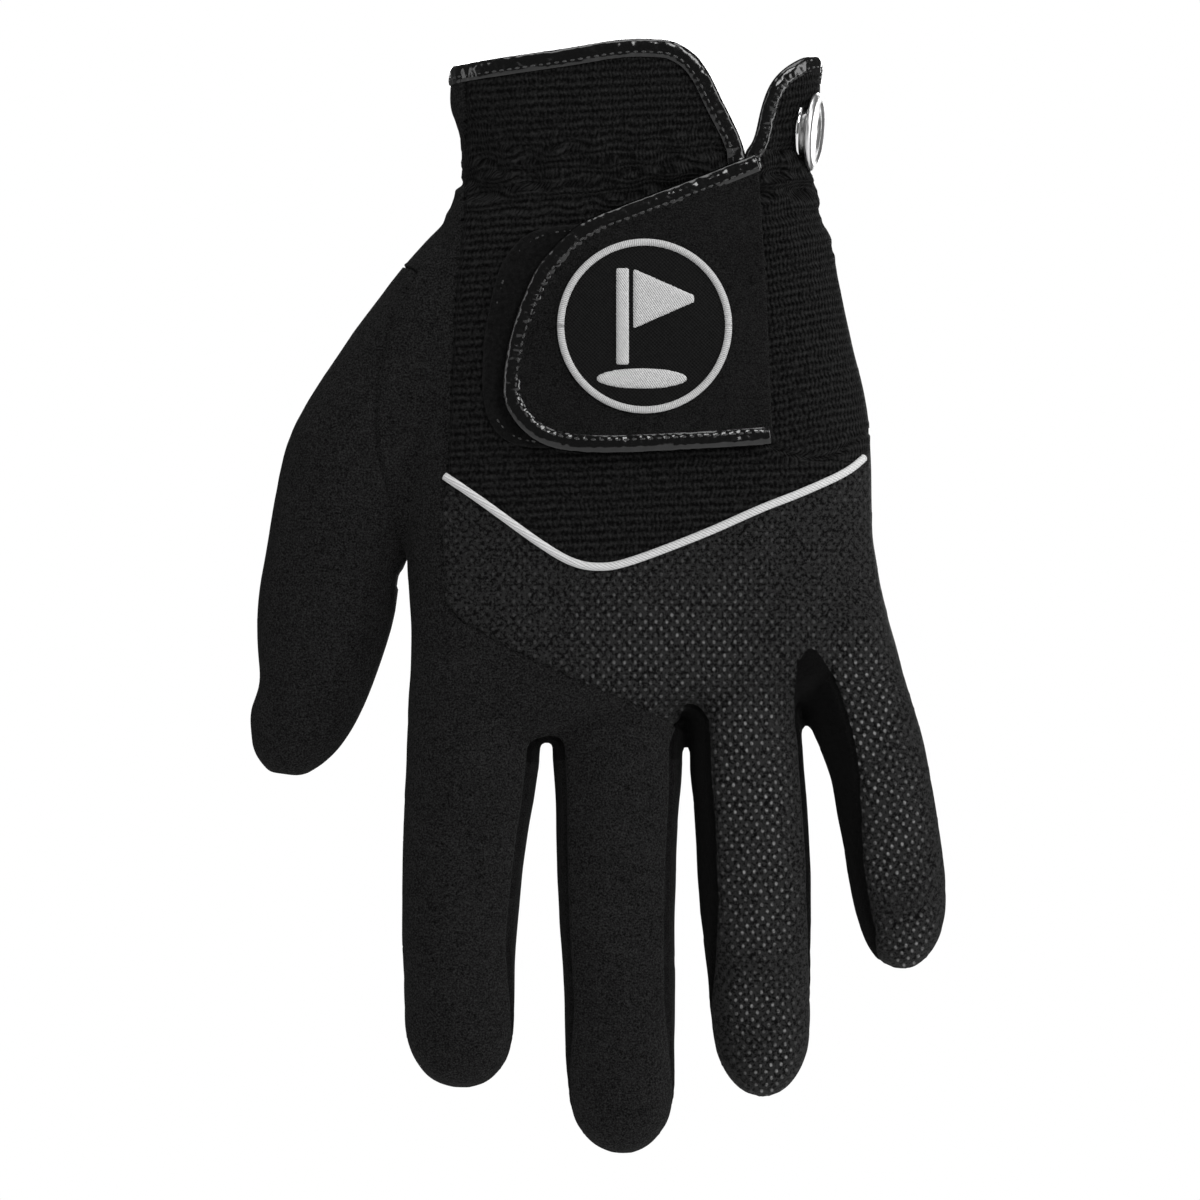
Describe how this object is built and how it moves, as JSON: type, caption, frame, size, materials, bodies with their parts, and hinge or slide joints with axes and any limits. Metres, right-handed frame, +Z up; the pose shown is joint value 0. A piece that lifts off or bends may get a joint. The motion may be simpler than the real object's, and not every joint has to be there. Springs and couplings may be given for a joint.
{
  "type": "golf glove",
  "caption": "Left-hand leather golf glove with a knit back, a hook-and-loop wrist tab and a pull-off ball marker, in its worn shape.",
  "frame": {"origin": "centre of the wrist opening, at the height of the palm side's top edge", "axes": "+Z up the arm, out of the wrist opening; +Y from the back of the hand to the palm; +X from the thumb side to the little finger side"},
  "size_m": [0.1505, 0.0411, 0.2395],
  "materials": {
    "suede": "fine matt suede, near black",
    "rib_knit": "fine ribbed stretch knit, black",
    "dotted_knit": "black stretch knit with a lattice of small light dots",
    "side_leather": "thin smooth leather, near black",
    "piping": "light grey satin piping",
    "binding": "black patent leather with stitches",
    "elastic": "gathered black elastic",
    "loop_fabric": "fuzzy black loop pile",
    "hook_plastic": "black hook tape",
    "tab_suede": "fine matt suede, near black",
    "badge_cloth": "black woven cloth",
    "embroidery": "light grey satin stitch",
    "chrome": "bright plated metal",
    "satin_metal": "satin light grey metal"
  },
  "bodies": {
    "hand": {"palm_panel": "suede", "back_panel": "rib_knit", "knuckle_panel": "dotted_knit", "wing_panel": "rib_knit", "piping": "piping", "cuff_binding": "binding", "wing_binding": "binding", "palm_binding": "binding", "wrist_elastic": "elastic", "loop_patch": "loop_fabric", "thumb_base": "suede", "snap_socket": "chrome", "snap_rivet": "chrome"},
    "tab": {"tab_panel": "tab_suede", "tab_binding": "binding", "hook_patch": "hook_plastic", "badge_cloth": "badge_cloth", "badge_ring": "embroidery", "badge_flag": "embroidery"},
    "marker": {"marker_disc": "satin_metal", "marker_stud": "chrome"},
    "thumb_tip": {"thumb_gusset": "suede", "thumb_tip_back": "suede", "thumb_tip_palm": "suede"},
    "index_base": {"index_knuckle_gusset": "suede", "index_base_back": "suede", "index_base_palm": "suede", "index_base_sides": "side_leather"},
    "index_tip": {"index_midjoint_gusset": "suede", "index_tip_back": "suede", "index_tip_palm": "suede", "index_tip_sides": "side_leather"},
    "middle_base": {"middle_knuckle_gusset": "suede", "middle_base_back": "suede", "middle_base_palm": "suede", "middle_base_sides": "side_leather"},
    "middle_tip": {"middle_midjoint_gusset": "suede", "middle_tip_back": "suede", "middle_tip_palm": "suede", "middle_tip_sides": "side_leather"},
    "ring_base": {"ring_knuckle_gusset": "dotted_knit", "ring_base_back": "dotted_knit", "ring_base_palm": "suede", "ring_base_sides": "side_leather"},
    "ring_tip": {"ring_midjoint_gusset": "dotted_knit", "ring_tip_back": "dotted_knit", "ring_tip_palm": "suede", "ring_tip_sides": "side_leather"},
    "little_base": {"little_knuckle_gusset": "dotted_knit", "little_base_back": "dotted_knit", "little_base_palm": "suede", "little_base_sides": "side_leather"},
    "little_tip": {"little_midjoint_gusset": "dotted_knit", "little_tip_back": "dotted_knit", "little_tip_palm": "suede", "little_tip_sides": "side_leather"}
  },
  "joints": [
    {"name": "index_knuckle", "type": "hinge", "parent": "hand", "child": "index_base", "pos_m": [-0.03672, 0.0002, -0.15697], "axis": [0.9991, 0, -0.0419], "range_deg": [0, 70], "deforming": ["index_knuckle_gusset"]},
    {"name": "index_midjoint", "type": "hinge", "parent": "index_base", "child": "index_tip", "pos_m": [-0.03871, 0.0019, -0.18542], "axis": [0.9991, 0, -0.0419], "range_deg": [0, 75.1], "deforming": ["index_midjoint_gusset"]},
    {"name": "middle_knuckle", "type": "hinge", "parent": "hand", "child": "middle_base", "pos_m": [-0.0047, 0.0002, -0.157], "axis": [0.9999, 0, 0.0105], "range_deg": [0, 70], "deforming": ["middle_knuckle_gusset"]},
    {"name": "middle_midjoint", "type": "hinge", "parent": "middle_base", "child": "middle_tip", "pos_m": [-0.00472, 0.0023, -0.193], "axis": [0.9999, 0, 0.0105], "range_deg": [0, 75.1], "deforming": ["middle_midjoint_gusset"]},
    {"name": "ring_knuckle", "type": "hinge", "parent": "hand", "child": "ring_base", "pos_m": [0.02301, 0.0002, -0.15097], "axis": [0.9981, 0, 0.061], "range_deg": [0, 70], "deforming": ["ring_knuckle_gusset"]},
    {"name": "ring_midjoint", "type": "hinge", "parent": "ring_base", "child": "ring_tip", "pos_m": [0.02519, 0.0021, -0.1834], "axis": [0.9981, 0, 0.061], "range_deg": [0, 75.1], "deforming": ["ring_midjoint_gusset"]},
    {"name": "little_knuckle", "type": "hinge", "parent": "hand", "child": "little_base", "pos_m": [0.04767, 0.0002, -0.13822], "axis": [0.9799, 0, 0.1994], "range_deg": [0, 70], "deforming": ["little_knuckle_gusset"]},
    {"name": "little_midjoint", "type": "hinge", "parent": "little_base", "child": "little_tip", "pos_m": [0.05344, 0.0019, -0.16307], "axis": [0.9799, 0, 0.1994], "range_deg": [0, 75.1], "deforming": ["little_midjoint_gusset"]},
    {"name": "thumb_bend", "type": "hinge", "parent": "hand", "child": "thumb_tip", "pos_m": [-0.0678, 0.0086, -0.1162], "axis": [0.9364, -0.2957, -0.1888], "range_deg": [0, 50], "deforming": ["thumb_gusset"]},
    {"name": "tab_peel", "type": "hinge", "parent": "hand", "child": "tab", "pos_m": [0.028, -0.0158, -0.0515], "axis": [-0.052, 0.036, 0.998], "range_deg": [0, 140]},
    {"name": "marker_pull", "type": "slide", "parent": "hand", "child": "marker", "axis": [0.9731, -0.21, -0.095], "range_m": [0, 0.01]}
  ],
  "couplings": [
    {"joint": "index_midjoint", "follows": "index_knuckle", "ratio": 1.07},
    {"joint": "middle_midjoint", "follows": "middle_knuckle", "ratio": 1.07},
    {"joint": "ring_midjoint", "follows": "ring_knuckle", "ratio": 1.07},
    {"joint": "little_midjoint", "follows": "little_knuckle", "ratio": 1.07}
  ]
}
